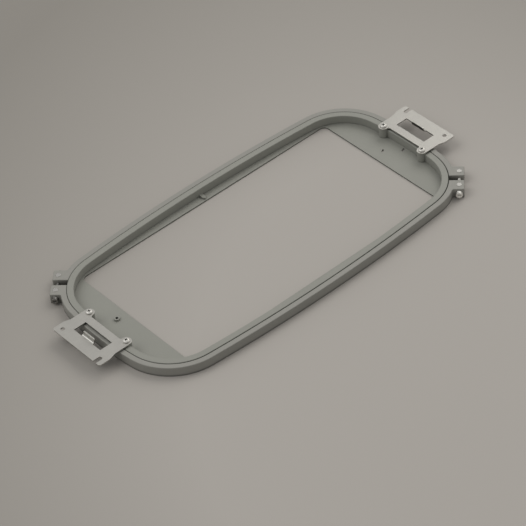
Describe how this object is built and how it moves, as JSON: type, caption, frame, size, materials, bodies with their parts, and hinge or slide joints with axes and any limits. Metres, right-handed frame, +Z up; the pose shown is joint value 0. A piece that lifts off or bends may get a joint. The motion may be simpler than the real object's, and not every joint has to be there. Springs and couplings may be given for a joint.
{
  "type": "embroidery hoop",
  "caption": "Oblong embroidery machine hoop: split outer ring drawn together by corner clamp screws, loose inner frame with thin end plates and sheet-metal holder brackets.",
  "frame": {"origin": "middle of the hoop on the surface it lies on, which is the bottom centre of its box", "axes": "+X to the right along the long side, +Y to the rear long side, +Z up; the front long side faces -Y"},
  "size_m": [0.5292, 0.2406, 0.0206],
  "materials": {
    "hoop_plastic": "fine moulded grain, greenish grey",
    "inner_plastic": "fine moulded grain, greenish grey",
    "bracket_steel": "satin sheet metal",
    "screw_steel": "bright plated",
    "barrel_steel": "bright turned",
    "insert_brass": "turned"
  },
  "bodies": {
    "outer_front": {"outer_frame_front": "hoop_plastic", "clamp_barrel_left": "barrel_steel", "clamp_barrel_right": "barrel_steel"},
    "outer_rear": {"outer_frame_rear": "hoop_plastic", "clamp_nut_left": "barrel_steel", "clamp_nut_right": "barrel_steel"},
    "inner": {"inner_frame": "inner_plastic", "bracket_left": "bracket_steel", "bracket_right": "bracket_steel", "bracket_screw_left_front": "screw_steel", "bracket_screw_left_rear": "screw_steel", "bracket_screw_right_front": "screw_steel", "bracket_screw_right_rear": "screw_steel", "insert_left_front": "insert_brass", "insert_left_rear": "insert_brass", "insert_right_front": "insert_brass", "insert_right_rear": "insert_brass"},
    "screw_left": {"clamp_screw_left": "screw_steel"},
    "screw_right": {"clamp_screw_right": "screw_steel"}
  },
  "joints": [
    {"name": "clamp_open", "type": "slide", "parent": "outer_front", "child": "outer_rear", "axis": [0.7071, 0.7071, 0], "range_m": [0, 0.006]},
    {"name": "clamp_screw_left_turn", "type": "hinge", "parent": "outer_front", "child": "screw_left", "pos_m": [-0.21369, 0.09998, 0.0062], "axis": [-0.7071, -0.7071, 0], "range_deg": [0, 3086]},
    {"name": "clamp_screw_right_turn", "type": "hinge", "parent": "outer_front", "child": "screw_right", "pos_m": [0.21786, -0.09581, 0.0062], "axis": [-0.7071, -0.7071, 0], "range_deg": [0, 3086]},
    {"name": "inner_frame_lift", "type": "slide", "parent": "outer_front", "child": "inner", "axis": [0, 0, 1], "range_m": [0, 0.04]}
  ],
  "couplings": [
    {"joint": "clamp_screw_left_turn", "follows": "clamp_open", "rad_per_m": 8976},
    {"joint": "clamp_screw_right_turn", "follows": "clamp_open", "rad_per_m": 8976}
  ]
}
